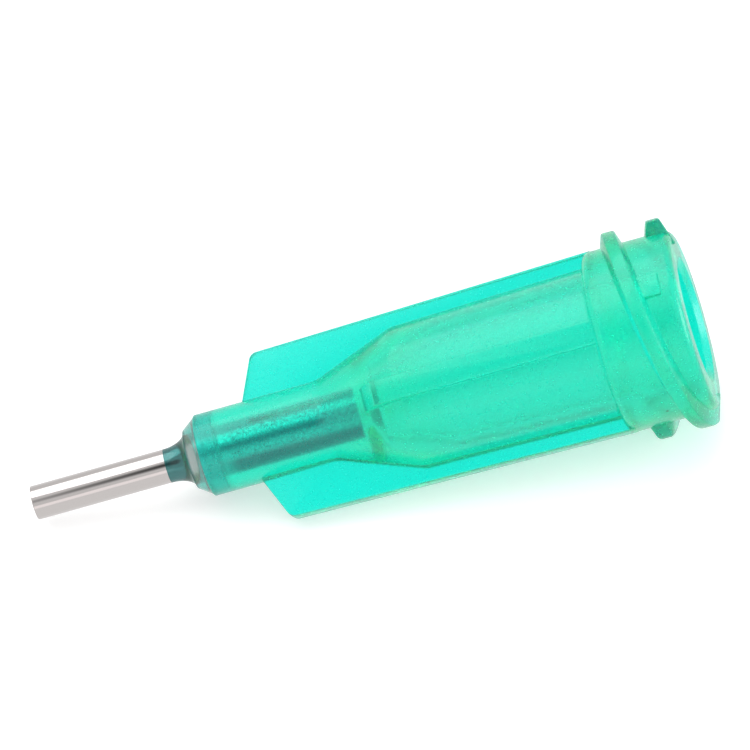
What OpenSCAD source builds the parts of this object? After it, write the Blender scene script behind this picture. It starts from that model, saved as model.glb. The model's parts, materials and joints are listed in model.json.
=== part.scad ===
// Blunt dispensing needle tip: a stainless tube glued into a moulded winged luer-lock hub.
// It lies as it comes to rest on a table: on a lock lug and on the front corners of a wing and of a
// side rib, with the tube just clear of the table and the mouth towards +X.

/* [Needle tube] */
// Outside diameter of the tube
tube_d = 1.27; // [1.05:0.01:1.4]
// Bore of the tube
tube_bore_d = 0.84; // [0.6:0.01:0.95]
// Whole length of the tube
tube_len = 12.7; // [11:0.1:13]
// Length that stands out of the hub's nose
tube_out = 6.5; // [6:0.1:9]

/* [Nose] */
// Diameter of the nose
nose_d = 3.06; // [2.8:0.01:3.4]
// Length of the nose, up to the flare
nose_len = 4.7; // [4:0.1:5.2]
// Diameter of the glue well in the nose's face
well_d = 2.2; // [1.7:0.01:2.4]
// Depth of the glue well
well_depth = 0.65; // [0.3:0.01:1.2]

/* [Flare and barrel] */
// Length of the flare between nose and barrel
flare_len = 3.1; // [2:0.1:3.6]
// Radius that blends the flare into the nose
flare_blend_r = 1.4; // [0.5:0.1:2]
// Barrel diameter next to the flare
barrel_front_d = 5.34; // [5:0.01:5.6]
// Barrel diameter next to the collar
barrel_back_d = 5.7; // [5.4:0.01:6]
// Length of the barrel
barrel_len = 7.5; // [7:0.1:10]
// Radius that rounds the flare into the barrel
shoulder_r = 0.8; // [0.3:0.1:1.2]

/* [Collar] */
// Diameter of the collar
collar_d = 6.78; // [6.4:0.01:7]
// Length of the collar
collar_len = 3.4; // [3.3:0.1:4.5]
// Length of the collar's rounded front edge
collar_lead = 0.34; // [0.1:0.01:0.5]
// Radius of the rounded edge round the mouth
rim_round = 0.32; // [0.1:0.01:0.5]

/* [Lock lugs] */
// Height of a lug above the collar
lug_h = 0.53; // [0.3:0.01:0.7]
// Width of a lug at its root
lug_root_w = 0.84; // [0.7:0.01:1]
// Width of a lug's crest
lug_crest_w = 0.5; // [0.3:0.01:0.6]
// Axial travel of a lug in one full turn
lug_lead = 3.4; // [3:0.1:3.8]
// Angle that each lug reaches round the collar
lug_sweep = 196; // [150:1:210]
// Distance from the mouth to the middle of a lug's length
lug_setback = 1.3; // [1.25:0.01:1.5]
// Length over which a lug's first end runs in
lug_run_in = 0.5; // [0.2:0.05:1]

/* [Wings] */
// Thickness of a wing
wing_t = 0.92; // [0.6:0.01:1.2]
// Distance from the axis to a wing's edge at its front corner
wing_reach = 3.12; // [2.8:0.01:3.3]
// Distance from the nose's face to a wing's root
wing_setback = 1.8; // [1:0.1:3]
// Length of a wing's slanted front edge along the axis
wing_slant = 0.8; // [0.2:0.1:1.5]
// Radius of a wing's front corner
wing_corner_r = 0.2; // [0.05:0.01:0.4]

/* [Side ribs] */
// Width of a side rib
rib_w = 0.92; // [0.6:0.01:1.2]
// Height of a side rib above the barrel
rib_rise = 0.27; // [0.15:0.01:0.3]
// Distance from the flare's end back to the foot of a side rib's front
rib_foot = 1.4; // [0.8:0.1:2]
// Length of a side rib's slanted front
rib_slant = 0.5; // [0.2:0.1:1]

/* [Luer socket] */
// Diameter of the socket at the mouth
luer_mouth_d = 4.3; // [4.1:0.01:4.4]
// Depth of the tapered socket
luer_depth = 9.25; // [7.5:0.05:9.6]
// Taper of the socket, as a share of its length taken off its diameter
luer_taper = 0.06; // [0.05:0.005:0.07]
// Length of the narrow throat behind the tube
throat_len = 0.45; // [0.3:0.01:0.8]
// Diameter of the step at the funnel's bottom
funnel_d = 2.2; // [1.6:0.01:2.6]
// Depth of the step at the funnel's bottom
funnel_step = 0.35; // [0.2:0.01:0.5]

/* [Gate mark] */
// Side of the square gate mark on the collar
gate_side = 0.9; // [0.5:0.01:1]
// Height of the gate mark above the collar
gate_rise = 0.12; // [0.05:0.01:0.2]
// Angle of the gate mark round the axis from the left wing
gate_angle = 73; // [60:1:80]
// Distance from the mouth to the middle of the gate mark
gate_setback = 1.05; // [0.7:0.01:1.1]

/* [Adhesive] */
// Length of the adhesive's meniscus along the tube
meniscus_len = 0.9; // [0.5:0.01:1.2]
// Diameter of the ring where the meniscus meets the bead
bead_d = 2.22; // [1.8:0.01:2.6]
// Length of the bead in front of the nose
bead_len = 0.5; // [0.3:0.01:0.7]

/* [Hidden] */
$fn = 72;
EPS = 0.01;
BLEND_STEPS = 6;
LUG_STEPS = 28;

tube_r = tube_d / 2;
tube_bore_r = tube_bore_d / 2;
nose_r = nose_d / 2;
well_r = well_d / 2;
collar_r = collar_d / 2;
bead_r = bead_d / 2;
luer_mouth_r = luer_mouth_d / 2;
luer_end_r = luer_mouth_r - luer_depth * luer_taper / 2;
lug_r = collar_r + lug_h;
rim_r = collar_r - rim_round;

// Stations along the axis, from the tube's free end to the mouth
nose_x = tube_out;
flare_x = nose_x + nose_len;
barrel_x = flare_x + flare_len;
collar_x = barrel_x + barrel_len;
mouth_x = collar_x + collar_len;
luer_x = mouth_x - luer_depth;
throat_x = tube_len + throat_len;
wing_x = nose_x + wing_setback;
rib_x = barrel_x - rib_foot;

// Radius of the barrel's cone at a station
function barrel_r(x) =
    (barrel_front_d + (barrel_back_d - barrel_front_d) * (x - barrel_x) / barrel_len) / 2;

// A corner's arc: the point where two straight stretches meet, rounded at radius r
function unit(v) = v / norm(v);
function rounded(before, corner, after, r) =
    let (
        a = unit(before - corner),
        b = unit(after - corner),
        half = acos(a * b) / 2,
        centre = corner + unit(a + b) * r / sin(half),
        first = corner + a * r / tan(half),
        last = corner + b * r / tan(half),
        from = atan2(first[1] - centre[1], first[0] - centre[0]),
        to = atan2(last[1] - centre[1], last[0] - centre[0]),
        turn = (to - from + 540) % 360 - 180
    )
    [for (i = [0 : BLEND_STEPS])
        centre + r * [cos(from + turn * i / BLEND_STEPS), sin(from + turn * i / BLEND_STEPS)]];

// Outside of the hub, as radius against station
hub_outline = [
    each [[0, nose_x], [nose_r, nose_x]],
    each rounded([nose_r, nose_x], [nose_r, flare_x], [barrel_r(barrel_x), barrel_x], flare_blend_r),
    each rounded([nose_r, flare_x], [barrel_r(barrel_x), barrel_x],
        [barrel_r(collar_x), collar_x], shoulder_r),
    [barrel_r(collar_x), collar_x],
    each rounded([barrel_r(collar_x), collar_x], [collar_r, collar_x],
        [collar_r, mouth_x], collar_lead),
    each rounded([collar_r, collar_x], [collar_r, mouth_x], [0, mouth_x], rim_round),
    [0, mouth_x]
];

// Inside of the hub: glue well, tube seat, throat, funnel and tapered socket
hub_hollow = [
    [0, nose_x - EPS],
    [well_r, nose_x - EPS],
    [well_r, nose_x + well_depth],
    [tube_r, nose_x + well_depth],
    [tube_r, tube_len],
    [tube_bore_r, tube_len],
    [tube_bore_r, throat_x],
    [funnel_d / 2, throat_x + funnel_step],
    [luer_end_r, luer_x],
    [luer_mouth_r + EPS * luer_taper / 2, mouth_x + EPS],
    [0, mouth_x + EPS]
];

// Middle of a lug's crest, and a ring of the lug's section, at an angle round the axis.
// The section runs in from the collar at the lug's first end.
function lug_station(a) = mouth_x - lug_setback + lug_lead * (a / 360);
function lug_share(a) =
    min(1, max(0.05, (a + lug_sweep / 2) * PI / 180 * collar_r / lug_run_in));
function lug_ring(a, turn) =
    let (
        x = lug_station(a),
        top = collar_r + lug_h * lug_share(a),
        foot = collar_r - lug_h,
        flank = (lug_root_w - lug_crest_w) / 2
    )
    [for (p = [[-lug_root_w / 2 - flank, foot], [-lug_crest_w / 2, top],
               [lug_crest_w / 2, top], [lug_root_w / 2 + flank, foot]])
        [x + p[0], p[1] * cos(turn + a), p[1] * sin(turn + a)]];
function lug_points(turn) =
    [for (i = [0 : LUG_STEPS]) each lug_ring(lug_sweep * (i / LUG_STEPS - 0.5), turn)];

// Outline of a wing, as [station, distance from the axis]
wing_corner_x = wing_x + wing_slant;
wing_end_x = collar_x + collar_lead;
wing_draft = (collar_r - wing_reach) / (collar_x - wing_corner_x);
wing_root = [wing_x, nose_r - wing_t / 4];
wing_end = [wing_end_x, wing_reach + wing_draft * (wing_end_x - wing_corner_x)];
wing_corner = rounded(wing_root, [wing_corner_x, wing_reach], wing_end, wing_corner_r);

// Outline of a side rib, as [station, distance from the axis]
rib_corner_x = rib_x + rib_slant;
rib_end_x = wing_end_x;
rib_foot_r = barrel_r(barrel_x) - (barrel_r(barrel_x) - nose_r) * rib_foot / flare_len;
rib_corner = [rib_corner_x, barrel_r(rib_corner_x) + rib_rise];

// What can touch the table: a lug's crest, the front corners of a wing and of a side rib, the tube
low_turn = 270;
low_lug = lug_points(low_turn);
low_wing = [for (p = wing_corner) [p[0], -p[1], -wing_t / 2]];
low_rib = [rib_corner[0], -rib_w / 2, -rib_corner[1]];
low_tube = [for (a = [180 : 10 : 270]) [0, tube_r * cos(a), tube_r * sin(a)]];
low_points = concat(low_lug, low_wing, [low_rib], low_tube);

// Lowest reach of some points against a direction
function depth(points, up) = min([for (p = points) p * up]);

// The table's normal, seen from the tip: of all planes through the rib's corner, a point of the
// wing's corner and a point of the lug, the one that leaves every other point above it
planes = [
    for (w = low_wing)
        for (l = low_lug)
            let (normal = cross(w - low_rib, l - low_rib), up = unit(normal) * sign(normal[2]))
            [depth(low_points, up) - low_rib * up, up]
];
best = max([for (p = planes) p[0]]);
rest_up = [for (p = planes) if (p[0] == best) p[1]][0];
rest_pitch = asin(rest_up[0]);
rest_roll = atan2(rest_up[1], rest_up[2]);
low_x = -tube_r * sin(rest_pitch);
high_x = mouth_x * cos(rest_pitch) + rim_r * sin(rest_pitch);

// Puts a piece that is built along +X as the tip lies, over the middle of its footprint
module as_it_lies() {
    translate([-(low_x + high_x) / 2, 0, -depth(low_points, rest_up)])
        rotate([0, -rest_pitch, 0])
            rotate([rest_roll, 0, 0])
                children();
}

// Turns an outline of [radius, station] round the X axis
module turned(outline) {
    rotate([0, 90, 0])
        rotate_extrude()
            polygon(outline);
}

// One lock lug, swept round the collar along its helix
module lock_lug(turn) {
    last = 4 * LUG_STEPS;
    polyhedron(
        points = lug_points(turn),
        faces = [
            [3, 2, 1, 0],
            for (i = [0 : LUG_STEPS - 1])
                for (k = [0 : 3])
                    each [
                        [4 * i + (k + 1) % 4, 4 * i + 4 + k, 4 * i + k],
                        [4 * i + (k + 1) % 4, 4 * i + 4 + (k + 1) % 4, 4 * i + 4 + k]
                    ],
            [last, last + 1, last + 2, last + 3]
        ]
    );
}

// One wing: a plate from the nose to the collar, in the XY plane on the side given by way
module wing(way) {
    outline = concat(
        [[wing_x, tube_r + EPS], wing_root],
        wing_corner,
        [wing_end, [wing_end_x, tube_r + EPS]]
    );
    translate([0, 0, -wing_t / 2])
        linear_extrude(height = wing_t)
            polygon([for (p = outline) [p[0], way * p[1]]]);
}

// One low rib along the barrel, in the XZ plane on the side given by way
module side_rib(way) {
    outline = [
        [rib_x, nose_r],
        [rib_x, rib_foot_r],
        rib_corner,
        [rib_end_x, barrel_r(rib_end_x) + rib_rise],
        [rib_end_x, nose_r]
    ];
    rotate([90, 0, 0])
        translate([0, 0, -rib_w / 2])
            linear_extrude(height = rib_w)
                polygon([for (p = outline) [p[0], way * p[1]]]);
}

// Square witness of the moulding gate on the collar
module gate_mark() {
    rotate([gate_angle, 0, 0])
        translate([mouth_x - gate_setback - gate_side / 2, collar_r - gate_side / 2, -gate_side / 2])
            cube([gate_side, gate_side / 2 + gate_rise, gate_side]);
}

module hub() {
    color("turquoise")
        as_it_lies()
            difference() {
                union() {
                    turned(hub_outline);
                    for (way = [-1, 1]) {
                        wing(way);
                        side_rib(way);
                    }
                    for (turn = [90, low_turn])
                        lock_lug(turn);
                    gate_mark();
                }
                turned(hub_hollow);
            }
}

module needle_tube() {
    color("silver")
        as_it_lies()
            turned([
                [tube_bore_r, 0],
                [tube_r, 0],
                [tube_r, tube_len],
                [tube_bore_r, tube_len]
            ]);
}

// Adhesive: a plug in the well, a bead over the nose's face and a meniscus up the tube
module epoxy_bead() {
    ring_x = nose_x - bead_len;
    bead_top_r = nose_r - 0.05;
    sag = bead_r - tube_r;
    color("darkcyan")
        as_it_lies()
            turned([
                for (i = [0 : BLEND_STEPS])
                    let (t = 90 * i / BLEND_STEPS)
                    [tube_r + sag * (1 - cos(t)), ring_x - meniscus_len * (1 - sin(t))],
                [bead_top_r, nose_x],
                [well_r, nose_x],
                [well_r, nose_x + well_depth],
                [tube_r, nose_x + well_depth]
            ]);
}

hub();
needle_tube();
epoxy_bead();
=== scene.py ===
"""Dispensing needle tip: the finished pieces, their materials and the stage they stand on."""

import json
import math
from types import SimpleNamespace

import bmesh
import bpy
from mathutils import Matrix, Vector


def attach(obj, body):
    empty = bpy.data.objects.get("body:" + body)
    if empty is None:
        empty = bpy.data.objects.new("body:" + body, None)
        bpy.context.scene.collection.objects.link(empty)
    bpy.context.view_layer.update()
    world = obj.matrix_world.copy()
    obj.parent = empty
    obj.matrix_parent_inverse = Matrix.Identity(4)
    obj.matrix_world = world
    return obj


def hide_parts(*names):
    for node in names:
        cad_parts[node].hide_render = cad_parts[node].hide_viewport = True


bl_info = {
    "name": "Dispensing Needle Tip",
    "version": (1, 0, 0),
    "blender": (4, 5, 0),
    "location": "3D View > Sidebar > Needle Tip",
    "description": "Builds a winged luer-lock needle tip: moulded hub, steel tube and adhesive",
    "category": "Add Mesh",
}

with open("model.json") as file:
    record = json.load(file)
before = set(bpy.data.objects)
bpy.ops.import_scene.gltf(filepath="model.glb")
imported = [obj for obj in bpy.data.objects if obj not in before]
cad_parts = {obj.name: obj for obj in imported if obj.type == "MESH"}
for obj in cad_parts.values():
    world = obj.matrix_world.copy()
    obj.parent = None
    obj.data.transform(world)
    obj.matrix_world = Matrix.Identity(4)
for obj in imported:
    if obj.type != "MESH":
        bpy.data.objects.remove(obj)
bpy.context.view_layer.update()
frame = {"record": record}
SOCKET = next(m for m in frame["record"]["mounts"] if m["name"] == "luer_socket")
MM = 0.001

# steps of what is swept round or bent
HUB_STEPS = 192
TUBE_STEPS = 96
LUG_STEPS = 56
MENISCUS_STEPS = 12

# small fixed sizes, in millimetres
NOSE_EDGE = 0.06
BARREL_END = 0.12
BEAD_INSET = 0.05
CUT_OVERRUN = 1

# how near two points are taken as one, in millimetres
NEAR = 1e-3
MERGE = 1e-4
LUG_MERGE = 1e-5

# share of its height that a lug starts with
LUG_START = 0.06


# ---------------------------------------------------------------- settings


def length(name, description, mm):
    """A size in millimetres, kept in metres."""
    return bpy.props.FloatProperty(
        name=name, description=description, default=mm * MM, min=0.0, unit="LENGTH", precision=5
    )


def angle(name, description, degrees):
    """An angle in degrees, kept in radians."""
    return bpy.props.FloatProperty(
        name=name, description=description, default=math.radians(degrees), unit="ROTATION"
    )


def linear(hex_colour):
    """An sRGB hex colour as linear red, green, blue."""
    parts = [int(hex_colour[i : i + 2], 16) / 255 for i in (1, 3, 5)]
    return tuple(p / 12.92 if p <= 0.04045 else ((p + 0.055) / 1.055) ** 2.4 for p in parts)


def tint(name, description, hex_colour):
    """A colour that a user can change."""
    return bpy.props.FloatVectorProperty(
        name=name, description=description, default=linear(hex_colour), subtype="COLOR",
        min=0, max=1,
    )


class TubeSizes(bpy.types.PropertyGroup):
    """Sizes of the steel tube."""

    tube_d: length("Diameter", "Outside diameter of the tube", 1.27)
    bore_d: length("Bore", "Bore of the tube", 0.84)
    tube_len: length("Length", "Whole length of the tube", 12.7)
    tube_out: length("Free length", "Length that stands out of the hub", 6.5)
    deburr: length("Deburred edge", "Width of the broken edge at the free end", 0.035)


class HubSizes(bpy.types.PropertyGroup):
    """Sizes of the moulded hub."""

    nose_d: length("Nose diameter", "Diameter of the nose", 3.06)
    nose_len: length("Nose length", "Length of the nose up to the flare", 4.7)
    well_d: length("Well diameter", "Diameter of the glue well", 2.2)
    well_depth: length("Well depth", "Depth of the glue well", 0.65)
    flare_len: length("Flare length", "Length of the flare", 3.1)
    flare_blend_r: length("Flare blend", "Radius that blends the flare into the nose", 1.4)
    barrel_front_d: length("Barrel front", "Barrel diameter next to the flare", 5.34)
    barrel_back_d: length("Barrel back", "Barrel diameter next to the collar", 5.7)
    barrel_len: length("Barrel length", "Length of the barrel", 7.5)
    shoulder_r: length("Shoulder radius", "Radius between flare and barrel", 0.8)
    collar_d: length("Collar diameter", "Diameter of the collar", 6.78)
    collar_len: length("Collar length", "Length of the collar", 3.4)
    collar_lead: length("Collar lead", "Radius of the collar's front edge", 0.34)
    rim_round: length("Rim round", "Radius of the edge round the mouth", 0.32)
    lug_h: length("Lug height", "Height of a lock lug", 0.53)
    lug_root_w: length("Lug root", "Width of a lug at its root", 0.84)
    lug_crest_w: length("Lug crest", "Width of a lug's crest", 0.5)
    lug_lead: length("Lug lead", "Axial travel of a lug in one full turn", 3.4)
    lug_sweep: angle("Lug sweep", "Angle that a lug reaches round the collar", 196)
    lug_middle: angle("Lug middle", "Angle of the near lug's middle from the upper wing", 104)
    lug_setback: length("Lug setback", "From the mouth to the middle of a lug", 1.4)
    lug_run_in: length("Lug run-in", "Length over which a lug's first end rises", 0.5)
    wing_t: length("Wing thickness", "Thickness of a wing", 0.92)
    wing_reach: length("Wing reach", "From the axis to a wing's edge at its front corner", 3.12)
    wing_setback: length("Wing setback", "From the nose's face to a wing's root", 1.8)
    wing_slant: length("Wing slant", "Length of a wing's slanted front edge", 0.8)
    wing_corner_r: length("Wing corner", "Radius of a wing's front corner", 0.2)
    rib_w: length("Rib width", "Width of a side rib", 0.92)
    rib_rise: length("Rib rise", "Height of a side rib above the barrel", 0.27)
    rib_foot: length("Rib foot", "From the flare's end back to a side rib's foot", 1.4)
    rib_slant: length("Rib slant", "Length of a side rib's slanted front", 0.5)
    luer_mouth_d: length("Socket mouth", "Diameter of the socket at the mouth", 4.3)
    luer_end_d: length("Socket end", "Diameter of the socket at its bottom", 3.745)
    luer_depth: length("Socket depth", "Depth of the tapered socket", 9.25)
    mouth_bevel: length("Mouth bevel", "Width of the bevel inside the mouth", 0.22)
    throat_len: length("Throat", "Length of the narrow throat behind the tube", 0.45)
    funnel_d: length("Funnel", "Diameter of the step at the funnel's bottom", 2.2)
    funnel_step: length("Funnel step", "Depth of the step at the funnel's bottom", 0.35)
    gate_side: length("Gate side", "Side of the gate mark", 0.9)
    gate_rise: length("Gate rise", "Height of the gate mark", 0.12)
    gate_angle: angle("Gate angle", "Angle of the gate mark from the upper wing", 73)
    gate_setback: length("Gate setback", "From the mouth to the gate mark's middle", 1.05)
    moulded_edge: length("Moulded edge", "Width that rounds every moulded edge", 0.07)


class BeadSizes(bpy.types.PropertyGroup):
    """Sizes of the cured adhesive."""

    meniscus_len: length("Meniscus", "Length of the meniscus along the tube", 0.9)
    bead_d: length("Bead diameter", "Diameter of the ring where meniscus and bead meet", 2.22)
    bead_len: length("Bead length", "Length of the bead in front of the nose", 0.5)
    wetting: length("Wetting", "How far the adhesive reaches into what it wets", 0.012)


class TipColours(bpy.types.PropertyGroup):
    """Colours of the tip."""

    hub_body: tint("Hub body", "Colour of the light that the plastic scatters", "#30FFF4")
    hub_through: tint("Hub depth", "Colour that the plastic lets through", "#00FEFA")
    specks: tint("Specks", "Colour of the few specks in the plastic", "#0C4A3C")
    steel: tint("Steel", "Colour of the tube's reflections", "#C9C4C2")
    # also the colour of the painted shade on the tube's lower side inside the hub
    soiled_steel: tint("Glued steel", "Colour of the tube where adhesive wets it", "#1A2A26")
    adhesive: tint("Adhesive", "Colour of the cured adhesive", "#4C9C9C")
    # painted highlight: white given to the bead over the nose's face
    adhesive_pale: tint("Adhesive skin", "Colour of the adhesive over the nose's face", "#FFFFFF")
    adhesive_through: tint("Adhesive depth", "Colour that the adhesive lets through", "#B8E8E8")


class StageSizes(bpy.types.PropertyGroup):
    """Place of the tip and of the camera."""

    rest_roll: angle("Roll", "How far the lower wing leans below level", 34.3343)
    camera_turn: angle("Camera turn", "Angle of the tip across the view", 15.6)
    camera_lead: angle("Camera lead", "Angle by which the mouth turns to the camera", 7.4)
    camera_roll: angle("Camera roll", "Angle of the camera round the tip from its side rib", 10.8)
    camera_far: length("Camera distance", "Distance of the camera", 600)
    view_width: length("View width", "Width that the camera takes in", 27.3)
    aim_along: length("Aim along", "Where the camera aims, from the tube's end", 13.34)
    aim_across: length("Aim across", "How far above the axis the camera aims", 1.16)


def in_mm(group):
    """A group's sizes in millimetres, its angles in radians."""
    kinds = group.bl_rna.properties
    return SimpleNamespace(
        **{
            key: getattr(group, key) / (MM if kinds[key].unit == "LENGTH" else 1)
            for key in group.__annotations__
        }
    )


def settings():
    """Every setting of the tip in one place."""
    scene = bpy.context.scene
    return SimpleNamespace(
        tube=in_mm(scene.tip_tube),
        hub=in_mm(scene.tip_hub),
        bead=in_mm(scene.tip_bead),
        stage=in_mm(scene.tip_stage),
        colours=scene.tip_colours,
    )


def tip_place(s):
    """The tip's own axes: X from the tube's free end to the mouth, Y along the upper wing."""
    along = Vector(SOCKET["axis"]).normalized()
    level = Vector((0, 0, 1)).cross(along).normalized()
    up = along.cross(level)
    wing = level * math.cos(s.stage.rest_roll) + up * math.sin(s.stage.rest_roll)
    axes = Matrix((along, wing, along.cross(wing))).transposed().to_4x4()
    tube_end = Vector(SOCKET["pos_m"]) - along * hub_stations(s).mouth * MM
    return Matrix.Translation(tube_end) @ axes


# ---------------------------------------------------------------- making pieces


def turned(corners, steps=HUB_STEPS):
    """A closed ring or solid turned round the X axis from corners of (station, radius)."""
    bm = bmesh.new()
    verts = [bm.verts.new((x, r, 0)) for x, r in corners]
    edges = [bm.edges.new(pair) for pair in zip(verts, verts[1:] + verts[:1])]
    if corners[0][1] == 0:
        bm.edges.remove(edges.pop())
    bmesh.ops.spin(
        bm, geom=verts + edges, cent=(0, 0, 0), axis=(1, 0, 0), angle=math.tau, steps=steps,
        use_merge=True,
    )
    bmesh.ops.remove_doubles(bm, verts=bm.verts, dist=MERGE)
    bmesh.ops.recalc_face_normals(bm, faces=bm.faces)
    return bm


def soften(bm, edges, width, segments=2):
    """Rounds edges over a width."""
    bmesh.ops.bevel(
        bm, geom=list(edges), offset=width, offset_type="OFFSET", segments=segments,
        profile=0.5, affect="EDGES", material=-1, clamp_overlap=True,
    )


def ring(bm, station, radius):
    """The edges of a turned piece that lie on one circle."""

    def on(v):
        return abs(v.co.x - station) < NEAR and abs(v.co.yz.length - radius) < NEAR

    return [e for e in bm.edges if all(map(on, e.verts))]


def sharp(bm, degrees=25):
    """The edges where two faces meet at more than an angle."""
    return [e for e in bm.edges if e.calc_face_angle(0) > math.radians(degrees)]


def plate(outline, thickness):
    """A plate in the XY plane, centred on it."""
    bm = bmesh.new()
    face = bm.faces.new([bm.verts.new((x, y, -thickness / 2)) for x, y in outline])
    made = bmesh.ops.extrude_face_region(bm, geom=[face])["geom"]
    bmesh.ops.translate(
        bm, vec=(0, 0, thickness), verts=[g for g in made if isinstance(g, bmesh.types.BMVert)]
    )
    bmesh.ops.recalc_face_normals(bm, faces=bm.faces)
    return bm


def roll(bm, radians):
    """Turns a piece round the tip's axis."""
    bmesh.ops.rotate(bm, cent=(0, 0, 0), matrix=Matrix.Rotation(radians, 3, "X"), verts=bm.verts)
    return bm


def as_object(name, bm):
    """An object at the origin that holds a bmesh."""
    mesh = bpy.data.meshes.new(name)
    bm.to_mesh(mesh)
    bm.free()
    piece = bpy.data.objects.new(name, mesh)
    bpy.context.scene.collection.objects.link(piece)
    return piece


def boolean(body, operation, other):
    """Adds an exact Boolean step to a solid."""
    modifier = body.modifiers.new(operation.lower(), "BOOLEAN")
    modifier.operation, modifier.solver, modifier.object = operation, "EXACT", other


def joined(base, added, cut):
    """One solid: base with the added solids joined on and the cut solid taken out."""
    body = as_object("body", base)
    parts = [as_object("added", bm) for bm in added]
    hollow = as_object("hollow", cut)
    for part in parts:
        boolean(body, "UNION", part)
    boolean(body, "DIFFERENCE", hollow)
    bm = bmesh.new()
    bm.from_object(body, bpy.context.evaluated_depsgraph_get())
    for piece in [body, hollow, *parts]:
        bpy.data.objects.remove(piece)
    if not bm.faces:
        raise RuntimeError("the hub's solids did not join")
    bmesh.ops.dissolve_degenerate(bm, dist=MERGE, edges=bm.edges)
    return bm


def finish_piece(name, bm, place, material, node, smooth_angle=28):
    """Puts a piece in its place, gives it its material and stands it in for its node."""
    bm.transform(place @ Matrix.Scale(MM, 4))
    piece = as_object(name, bm)
    piece.data.materials.append(material)
    piece.data.shade_smooth()
    piece.data.set_sharp_from_angle(angle=math.radians(smooth_angle))
    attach(piece, "root")
    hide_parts(node)
    return piece


# ---------------------------------------------------------------- materials


def add_node(tree, kind, links=None, **values):
    """Adds a node: values set its properties or its inputs, links join its inputs to outputs."""
    node = tree.nodes.new(kind)
    for key, value in values.items():
        if hasattr(node, key):
            setattr(node, key, value)
        else:
            node.inputs[key.replace("_", " ")].default_value = value
    for key, source in (links or {}).items():
        tree.links.new(source, node.inputs[key])
    return node


def new_material(name):
    """An empty node material and its output."""
    material = bpy.data.materials.new(name)
    material.use_nodes = True
    material.node_tree.nodes.clear()
    return material, material.node_tree, material.node_tree.nodes.new("ShaderNodeOutputMaterial")


def tip_coordinates(tree, place):
    """Coordinates along the tip's own axes, in metres."""
    coords = add_node(tree, "ShaderNodeTexCoord")
    return add_node(
        tree, "ShaderNodeMapping", {"Vector": coords.outputs["Object"]}, vector_type="TEXTURE",
        Location=place.to_translation(), Rotation=place.to_euler(),
    )


def per_mm(size_mm):
    """Noise scale that gives features of about a size."""
    return 1 / (size_mm * MM)


def noise(tree, at, size_mm, detail, roughness=0.5):
    """Noise with features of about a size."""
    return add_node(
        tree, "ShaderNodeTexNoise", {"Vector": at}, Scale=per_mm(size_mm), Detail=detail,
        Roughness=roughness,
    ).outputs["Fac"]


def spread(tree, value, low, high, to_low=0.0, to_high=1.0):
    """A value's range from low to high, mapped onto another range and held inside it."""
    return add_node(
        tree, "ShaderNodeMapRange", {"Value": value}, From_Min=low, From_Max=high,
        To_Min=to_low, To_Max=to_high,
    ).outputs["Result"]


def blend(tree, factor, first, second):
    """A colour between two linear colours."""
    mix = add_node(tree, "ShaderNodeMix", {"Factor": factor}, data_type="RGBA")
    mix.inputs["A"].default_value = (*first, 1)
    mix.inputs["B"].default_value = (*second, 1)
    return mix.outputs["Result"]


def calculated(tree, operation, first, second):
    """Two values put through a sum."""
    links = {0: first, 1: second}
    return add_node(tree, "ShaderNodeMath", links, operation=operation).outputs["Value"]


def reach_along(tree, vector, direction):
    """How far a vector reaches along a direction."""
    dot = add_node(tree, "ShaderNodeVectorMath", {0: vector}, operation="DOT_PRODUCT")
    dot.inputs[1].default_value = direction
    return dot.outputs["Value"]


def relief(tree, links, strength, depth_mm):
    """The normal of a surface with a fine relief on it."""
    return add_node(
        tree, "ShaderNodeBump", links, Strength=strength, Distance=depth_mm * MM
    ).outputs["Normal"]


def end_in(tree, out, links, **values):
    """Ends a material in a Principled surface."""
    surface = add_node(tree, "ShaderNodeBsdfPrincipled", links, **values)
    tree.links.new(surface.outputs["BSDF"], out.inputs["Surface"])


def absorb(tree, out, colour, density):
    """Gives a clear material a colour that deepens with thickness."""
    depth = add_node(tree, "ShaderNodeVolumeAbsorption", Color=(*colour, 1), Density=density)
    tree.links.new(depth.outputs["Volume"], out.inputs["Volume"])


def moulded_polypropylene(colours, place):
    """Clear polypropylene, tinted and injection moulded: a soft satin skin with a faint flow
    ripple, depth colour that grows with thickness, a little haze and a few dark specks."""
    material, tree, out = new_material("polypropylene moulded")
    at = tip_coordinates(tree, place).outputs["Vector"]
    ripple = noise(tree, at, size_mm=0.5, detail=3.0, roughness=0.55)
    grain = noise(tree, at, size_mm=0.12, detail=2.0, roughness=0.6)
    edge = add_node(tree, "ShaderNodeBevel", samples=6, Radius=0.06 * MM).outputs["Normal"]
    skin = relief(tree, {"Height": ripple, "Normal": edge}, strength=0.25, depth_mm=0.02)
    skin = relief(tree, {"Height": grain, "Normal": skin}, strength=0.06, depth_mm=0.006)
    cells = add_node(tree, "ShaderNodeTexVoronoi", {"Vector": at}, Scale=per_mm(3.5))
    clear = spread(tree, cells.outputs["Distance"], 0.012, 0.02)
    links = {
        "Base Color": blend(tree, clear, colours.specks, colours.hub_body),
        "Roughness": spread(tree, grain, 0.3, 0.7, 0.2, 0.28),
        "Normal": skin,
    }
    end_in(tree, out, links, IOR=1.49, Transmission_Weight=0.82, Specular_IOR_Level=0.2)
    absorb(tree, out, colours.hub_through, density=3500.0)
    return material


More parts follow.
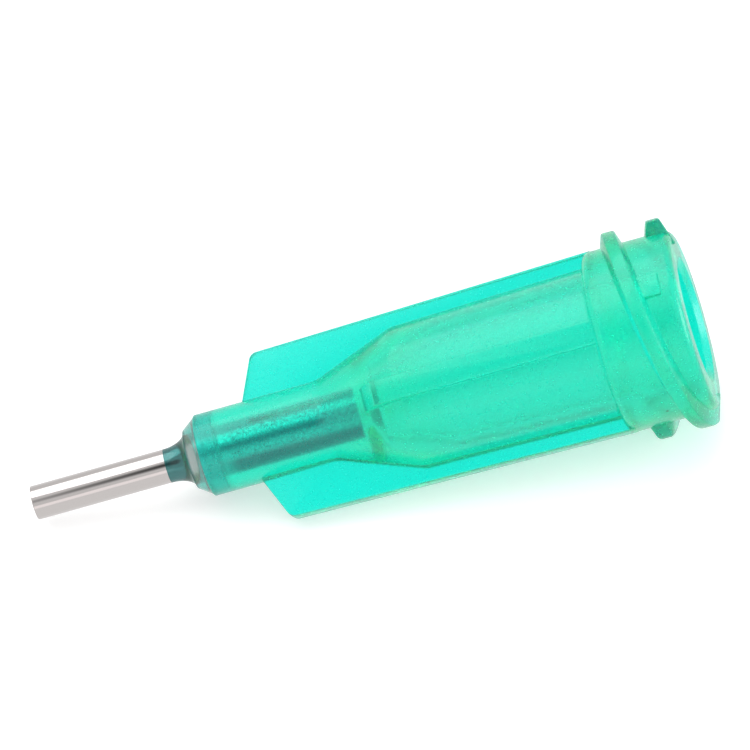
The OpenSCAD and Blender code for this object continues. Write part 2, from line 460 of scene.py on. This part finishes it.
def drawn_steel(colours, place, s):
    """Stainless steel tube, drawn: fine lines along it stretch its highlights, and the length
    that adhesive wets inside the hub is blotched dark and pale, with painted shade darkening a
    strip along its lower side there."""
    material, tree, out = new_material("stainless steel drawn")
    at = tip_coordinates(tree, place).outputs["Vector"]
    stretched = add_node(tree, "ShaderNodeMapping", {"Vector": at}, Scale=(0.02, 1, 1))
    lines = noise(tree, stretched.outputs["Vector"], size_mm=0.05, detail=3.0, roughness=0.6)
    pits = noise(tree, at, size_mm=0.05, detail=3.0, roughness=0.65)

    nose, tube_r = s.tube.tube_out, s.tube.tube_d / 2
    station = add_node(tree, "ShaderNodeSeparateXYZ", {"Vector": at}).outputs["X"]
    inside = spread(tree, station, (nose + 0.55) * MM, (nose + 1.3) * MM)
    blots = spread(tree, pits, 0.46, 0.62)
    below = reach_along(tree, at, (0, -0.966, 0.259))
    # painted shade: a strip along the tube's lower side is darkened, as if in shade
    underside_shade = spread(tree, below, 0.8 * tube_r * MM, 0.9 * tube_r * MM, to_high=0.9)
    # adhesive blots joined with the painted shade on the lower side
    residue_and_shade = calculated(tree, "MAXIMUM", blots, underside_shade)
    stain_and_shade = calculated(tree, "MULTIPLY", inside, residue_and_shade)
    links = {
        "Base Color": blend(tree, stain_and_shade, colours.steel, colours.soiled_steel),
        "Roughness": spread(tree, lines, 0.3, 0.7, 0.06, 0.12),
        "Normal": relief(tree, {"Height": lines}, strength=0.15, depth_mm=0.002),
    }
    end_in(tree, out, links, Metallic=1.0)
    return material


def cured_epoxy(colours, place, s):
    """Epoxy adhesive, cast in place and cured: glass clear and glossy with a slight pull of the
    surface, darker where it is thick; the bead over the nose's face is painted white as a
    highlight."""
    material, tree, out = new_material("epoxy cured")
    at = tip_coordinates(tree, place).outputs["Vector"]
    pull = noise(tree, at, size_mm=0.8, detail=1.0)
    ring_x = s.tube.tube_out - s.bead.bead_len
    station = add_node(tree, "ShaderNodeSeparateXYZ", {"Vector": at}).outputs["X"]
    # painted highlight: from just behind the ring back to the nose the epoxy is coloured white
    painted_highlight_zone = spread(tree, station, (ring_x + 0.03) * MM, (ring_x + 0.12) * MM)
    links = {
        "Base Color": blend(tree, painted_highlight_zone, colours.adhesive, colours.adhesive_pale),
        "Normal": relief(tree, {"Height": pull}, strength=0.2, depth_mm=0.03),
    }
    end_in(tree, out, links, IOR=1.5, Roughness=0.12, Transmission_Weight=0.9)
    absorb(tree, out, colours.adhesive_through, density=600.0)
    return material


# ---------------------------------------------------------------- the pieces


def hub_stations(s):
    """Stations along the hub, from the tube's free end."""
    nose = s.tube.tube_out
    flare = nose + s.hub.nose_len
    barrel = flare + s.hub.flare_len
    collar = barrel + s.hub.barrel_len
    return SimpleNamespace(
        nose=nose, flare=flare, barrel=barrel, collar=collar, mouth=collar + s.hub.collar_len
    )


def tangent(radius, before, corner, after):
    """How far a round of a radius reaches from a corner of a profile."""
    a, b = Vector(before) - Vector(corner), Vector(after) - Vector(corner)
    return radius / math.tan(a.angle(b) / 2)


def hub_outside(s):
    """The turned outside of the hub, with its rounds."""
    h, at = s.hub, hub_stations(s)
    corners = [
        (at.nose, 0), (at.nose, h.nose_d / 2), (at.flare, h.nose_d / 2),
        (at.barrel, h.barrel_front_d / 2), (at.collar, h.barrel_back_d / 2),
        (at.collar, h.collar_d / 2), (at.mouth, h.collar_d / 2), (at.mouth, 0),
    ]
    bm = turned(corners)
    rounds = [NOSE_EDGE, h.flare_blend_r, h.shoulder_r, BARREL_END, h.collar_lead, h.rim_round]
    for i, radius in enumerate(rounds, 1):
        reach = tangent(radius, corners[i - 1], corners[i], corners[i + 1])
        soften(bm, ring(bm, *corners[i]), reach, 6)
    return bm


def hub_hollow(s):
    """The turned hollow of the hub: glue well, tube seat, throat, funnel and tapered socket."""
    h, at = s.hub, hub_stations(s)
    seat, bore = s.tube.tube_d / 2 - s.bead.wetting, s.tube.bore_d / 2
    well_end, tube_end = at.nose + h.well_depth, s.tube.tube_len
    throat = tube_end + h.throat_len
    front, back = at.nose - CUT_OVERRUN, at.mouth + CUT_OVERRUN
    return turned(
        [
            (front, 0), (front, h.well_d / 2), (well_end, h.well_d / 2), (well_end, seat),
            (tube_end, seat), (tube_end, bore), (throat, bore),
            (throat + h.funnel_step, h.funnel_d / 2),
            (at.mouth - h.luer_depth, h.luer_end_d / 2),
            (at.mouth - h.mouth_bevel, h.luer_mouth_d / 2),
            (back, h.luer_mouth_d / 2 + CUT_OVERRUN + h.mouth_bevel), (back, 0),
        ]
    )


def wing(s, way):
    """One wing, as a plate from the nose to the collar."""
    h, at = s.hub, hub_stations(s)
    root = at.nose + h.wing_setback
    corner = root + h.wing_slant
    end = at.collar + h.collar_lead
    draft = (h.collar_d / 2 - h.wing_reach) / (at.collar - corner)
    buried = h.nose_d / 4
    bm = plate(
        [
            (root, buried), (root, h.nose_d / 2 - h.wing_t / 4), (corner, h.wing_reach),
            (end, h.wing_reach + draft * (end - corner)), (end, buried),
        ],
        h.wing_t,
    )
    tip = [e for e in bm.edges if all(abs(v.co.x - corner) < MERGE for v in e.verts)]
    soften(bm, tip, h.wing_corner_r, 5)
    soften(bm, sharp(bm), h.moulded_edge)
    return roll(bm, 0 if way > 0 else math.pi)


def side_rib(s, way):
    """One low rib along the barrel."""
    h, at = s.hub, hub_stations(s)
    foot = at.barrel - h.rib_foot
    corner = foot + h.rib_slant
    end = at.collar + h.collar_lead

    def barrel(x):
        share = (x - at.barrel) / h.barrel_len
        return (h.barrel_front_d + (h.barrel_back_d - h.barrel_front_d) * share) / 2

    flare_r = barrel(at.barrel) - (barrel(at.barrel) - h.nose_d / 2) * h.rib_foot / h.flare_len
    bm = plate(
        [
            (foot, h.nose_d / 2), (foot, flare_r), (corner, barrel(corner) + h.rib_rise),
            (end, barrel(end) + h.rib_rise), (end, h.nose_d / 2),
        ],
        h.rib_w,
    )
    soften(bm, sharp(bm), h.moulded_edge)
    return roll(bm, way * math.pi / 2)


def lock_lug(s, turn):
    """One lock lug: its section swept round the collar along a helix, with a run-in."""
    h, at = s.hub, hub_stations(s)
    start = turn - h.lug_sweep / 2
    travel = h.lug_lead * h.lug_sweep / math.tau
    first = at.mouth - h.lug_setback - travel / 2
    collar_r = h.collar_d / 2
    foot, crest = collar_r - h.lug_h, collar_r + h.lug_h
    flank = (h.lug_root_w - h.lug_crest_w) / 2
    bm = bmesh.new()
    section = bm.faces.new(
        [
            bm.verts.new((first + x, r, 0))
            for x, r in [
                (-h.lug_root_w / 2 - flank, foot), (-h.lug_crest_w / 2, crest),
                (h.lug_crest_w / 2, crest), (h.lug_root_w / 2 + flank, foot),
            ]
        ]
    )
    bmesh.ops.spin(
        bm, geom=[section, *section.edges, *section.verts], cent=(0, 0, 0), axis=(1, 0, 0),
        dvec=(travel / LUG_STEPS, 0, 0), angle=h.lug_sweep, steps=LUG_STEPS,
    )
    bmesh.ops.remove_doubles(bm, verts=bm.verts, dist=LUG_MERGE)
    bmesh.ops.recalc_face_normals(bm, faces=bm.faces)
    soften(bm, sharp(bm), h.moulded_edge)
    for v in bm.verts:
        reach = math.atan2(v.co.z, v.co.y) % math.tau
        if reach > math.tau * 3 / 4:  # the round of the first end stands just before the start
            reach = 0
        share = min(1, max(LUG_START, reach * collar_r / h.lug_run_in))
        radius = v.co.yz.length
        if radius > collar_r and share < 1:
            v.co.yz = v.co.yz * (collar_r + (radius - collar_r) * share) / radius
    return roll(bm, start)


def gate_mark(s):
    """The square witness of the moulding gate on the collar."""
    h, at = s.hub, hub_stations(s)
    bm = bmesh.new()
    bmesh.ops.create_cube(bm, size=h.gate_side)
    soften(bm, bm.edges[:], h.moulded_edge)
    bmesh.ops.translate(
        bm, verts=bm.verts,
        vec=(at.mouth - h.gate_setback, h.collar_d / 2 + h.gate_rise - h.gate_side / 2, 0),
    )
    return roll(bm, h.gate_angle)


class TIP_OT_hub(bpy.types.Operator):
    """Builds the moulded hub with its wings, side ribs, lock lugs and socket"""

    bl_idname = "tip.hub"
    bl_label = "Hub"

    def execute(self, context):
        s = settings()
        place = tip_place(s)
        near_lug, far_lug = s.hub.lug_middle, s.hub.lug_middle + math.pi
        added = [
            wing(s, 1), wing(s, -1), side_rib(s, 1), side_rib(s, -1),
            lock_lug(s, near_lug), lock_lug(s, far_lug), gate_mark(s),
        ]
        bm = joined(hub_outside(s), added, hub_hollow(s))
        finish_piece(
            "hub_moulding", bm, place, moulded_polypropylene(s.colours, place), "hub"
        )
        return {"FINISHED"}


class TIP_OT_tube(bpy.types.Operator):
    """Builds the steel tube"""

    bl_idname = "tip.tube"
    bl_label = "Tube"

    def execute(self, context):
        s = settings()
        t, place = s.tube, tip_place(s)
        outer, bore = t.tube_d / 2, t.bore_d / 2
        corners = [(0, bore), (0, outer), (t.tube_len, outer), (t.tube_len, bore)]
        bm = turned(corners, TUBE_STEPS)
        soften(bm, ring(bm, 0, outer) + ring(bm, 0, bore), t.deburr, 3)
        finish_piece(
            "steel_tube", bm, place, drawn_steel(s.colours, place, s), "needle_tube",
        )
        return {"FINISHED"}


class TIP_OT_adhesive(bpy.types.Operator):
    """Builds the adhesive that holds the tube: plug, bead and meniscus"""

    bl_idname = "tip.adhesive"
    bl_label = "Adhesive"

    def execute(self, context):
        s = settings()
        b, place = s.bead, tip_place(s)
        nose, tube_r = s.tube.tube_out, s.tube.tube_d / 2
        ring_x, bead_r = nose - b.bead_len, b.bead_d / 2
        inner, well_r = tube_r - b.wetting, s.hub.well_d / 2 + b.wetting
        back, plug = nose + b.wetting, nose + s.hub.well_depth + b.wetting
        arc = []
        for i in range(MENISCUS_STEPS + 1):
            t = math.pi / 2 * i / MENISCUS_STEPS
            station = ring_x - b.meniscus_len * (1 - math.sin(t))
            arc.append((station, tube_r + (bead_r - tube_r) * (1 - math.cos(t))))
        bm = turned(
            [
                (ring_x - b.meniscus_len, inner), *arc, (back, s.hub.nose_d / 2 - BEAD_INSET),
                (back, well_r), (plug, well_r), (plug, inner),
            ],
            TUBE_STEPS,
        )
        finish_piece(
            "adhesive", bm, place, cured_epoxy(s.colours, place, s), "epoxy_bead"
        )
        return {"FINISHED"}


# ---------------------------------------------------------------- the stage


def mirrored_ray(tree, path):
    """1 for rays that a surface mirrors or lets through."""
    glossy, through = path.outputs["Is Glossy Ray"], path.outputs["Is Transmission Ray"]
    return calculated(tree, "MAXIMUM", glossy, through)


def white_floor():
    """Matt white table: it keeps the soft shadow, and stays white in what looks through the
    plastic or is mirrored in the steel."""
    material, tree, out = new_material("floor white")
    path = add_node(tree, "ShaderNodeLightPath")
    matt = add_node(tree, "ShaderNodeBsdfDiffuse", Color=(0.8, 0.8, 0.8, 1))
    lift = add_node(tree, "ShaderNodeEmission", Color=(1, 1, 1, 1), Strength=0.42)
    bright = add_node(tree, "ShaderNodeEmission", Color=(1, 1, 1, 1), Strength=0.98)
    seen = add_node(
        tree, "ShaderNodeAddShader", {0: matt.outputs["BSDF"], 1: lift.outputs["Emission"]}
    )
    direct = add_node(
        tree, "ShaderNodeMixShader",
        {"Fac": path.outputs["Is Camera Ray"], 1: matt.outputs["BSDF"], 2: seen.outputs["Shader"]},
    )
    mixed = add_node(
        tree, "ShaderNodeMixShader",
        {
            "Fac": mirrored_ray(tree, path),
            1: direct.outputs["Shader"],
            2: bright.outputs["Emission"],
        },
    )
    tree.links.new(mixed.outputs["Shader"], out.inputs["Surface"])
    return material


def studio_world(gap_way):
    """Even studio light, white behind everything. What mirrors it or looks through it meets a
    dark gap round one direction."""
    world = bpy.data.worlds.new("studio")
    world.use_nodes = True
    tree = world.node_tree
    tree.nodes.clear()
    out = tree.nodes.new("ShaderNodeOutputWorld")
    path = add_node(tree, "ShaderNodeLightPath")
    way = add_node(tree, "ShaderNodeTexCoord").outputs["Generated"]
    gap_edge, gap_core = math.cos(math.radians(20)), math.cos(math.radians(9))
    gap = spread(tree, reach_along(tree, way, gap_way), gap_edge, gap_core, 0.85, 0.02)
    unseen = add_node(
        tree, "ShaderNodeMix", {"Factor": mirrored_ray(tree, path), "B": gap}, data_type="FLOAT"
    )
    unseen.inputs["A"].default_value = 0.9
    level = add_node(
        tree, "ShaderNodeMix",
        {"Factor": path.outputs["Is Camera Ray"], "A": unseen.outputs["Result"]},
        data_type="FLOAT",
    )
    level.inputs["B"].default_value = 1.0
    light = add_node(
        tree, "ShaderNodeBackground", {"Strength": level.outputs["Result"]}, Color=(1, 1, 1, 1)
    )
    tree.links.new(light.outputs["Background"], out.inputs["Surface"])
    bpy.context.scene.world = world


def lamp(name, aim, direction, distance, size, power, colour=(1, 1, 1)):
    """A soft area lamp that shines on the tip from a direction."""
    data = bpy.data.lights.new(name, "AREA")
    data.shape, data.size, data.size_y = "RECTANGLE", *size
    data.energy, data.color = power, colour
    light = bpy.data.objects.new(name, data)
    light.location = aim + direction.normalized() * distance
    light.rotation_euler = direction.to_track_quat("Z", "Y").to_euler()
    bpy.context.scene.collection.objects.link(light)


class TIP_OT_stage(bpy.types.Operator):
    """Builds the table, the studio light and the camera"""

    bl_idname = "tip.stage"
    bl_label = "Stage"

    def execute(self, context):
        s = settings()
        g, place = s.stage, tip_place(s)
        along, wing_way, rib_way = (place.col[i].to_3d() for i in range(3))
        across = wing_way * math.cos(g.camera_roll) + rib_way * math.sin(g.camera_roll)
        facing = rib_way * math.cos(g.camera_roll) - wing_way * math.sin(g.camera_roll)
        back = along * math.sin(g.camera_lead) + facing * math.cos(g.camera_lead)
        level = along * math.cos(g.camera_lead) - facing * math.sin(g.camera_lead)
        right = level * math.cos(g.camera_turn) - across * math.sin(g.camera_turn)
        up = level * math.sin(g.camera_turn) + across * math.cos(g.camera_turn)
        aim = place.to_translation() + (along * g.aim_along + across * g.aim_across) * MM

        data = bpy.data.cameras.new("camera")
        data.sensor_width = 36
        data.lens = data.sensor_width * g.camera_far / g.view_width
        data.clip_start, data.clip_end = 0.01, 10
        camera = bpy.data.objects.new("camera", data)
        axes = Matrix((right, up, back)).transposed().to_4x4()
        camera.matrix_world = Matrix.Translation(aim + back * g.camera_far * MM) @ axes
        context.scene.collection.objects.link(camera)
        context.scene.camera = camera

        bm = bmesh.new()
        bmesh.ops.create_grid(bm, x_segments=1, y_segments=1, size=2.5)
        floor = as_object("floor", bm)
        floor.data.materials.append(white_floor())

        def mirrored(degrees):
            """Where the tube mirrors the camera's line of sight, so far above its middle."""
            lean = math.radians(degrees)
            round_tube = facing * math.cos(lean) + across * math.sin(lean)
            return round_tube * math.cos(g.camera_lead) - along * math.sin(g.camera_lead)

        studio_world(mirrored(10))
        lamp("top light", aim, mirrored(70), distance=0.5, size=(0.6, 0.42), power=1.2)
        lamp(
            "side light", aim, mirrored(-45), distance=0.6, size=(0.5, 0.4), power=0.3,
            colour=linear("#FFF0F2"),
        )
        mouth_way = along + facing * 0.13
        lamp("mouth light", aim, mouth_way, distance=0.5, size=(0.3, 0.3), power=1.2)
        context.scene.view_settings.view_transform = "Standard"
        return {"FINISHED"}


class TIP_PT_panel(bpy.types.Panel):
    """Lists the steps that build the needle tip"""

    bl_label = "Dispensing Needle Tip"
    bl_idname = "TIP_PT_panel"
    bl_space_type = "VIEW_3D"
    bl_region_type = "UI"
    bl_category = "Needle Tip"

    def draw(self, context):
        for operator in OPERATORS:
            self.layout.operator(operator.bl_idname)
        for key in GROUPS:
            box = self.layout.box()
            group = getattr(context.scene, key)
            for name in group.__annotations__:
                box.prop(group, name)


OPERATORS = [TIP_OT_hub, TIP_OT_tube, TIP_OT_adhesive, TIP_OT_stage]
GROUPS = {
    "tip_tube": TubeSizes,
    "tip_hub": HubSizes,
    "tip_bead": BeadSizes,
    "tip_colours": TipColours,
    "tip_stage": StageSizes,
}


def register():
    for cls in [*GROUPS.values(), *OPERATORS, TIP_PT_panel]:
        bpy.utils.register_class(cls)
    for key, cls in GROUPS.items():
        setattr(bpy.types.Scene, key, bpy.props.PointerProperty(type=cls))


def unregister():
    for key in GROUPS:
        delattr(bpy.types.Scene, key)
    for cls in reversed([*GROUPS.values(), *OPERATORS, TIP_PT_panel]):
        bpy.utils.unregister_class(cls)


def main():
    register()
    bpy.ops.tip.hub()
    bpy.ops.tip.tube()
    bpy.ops.tip.adhesive()
    bpy.ops.tip.stage()


if __name__ == "__main__":
    main()
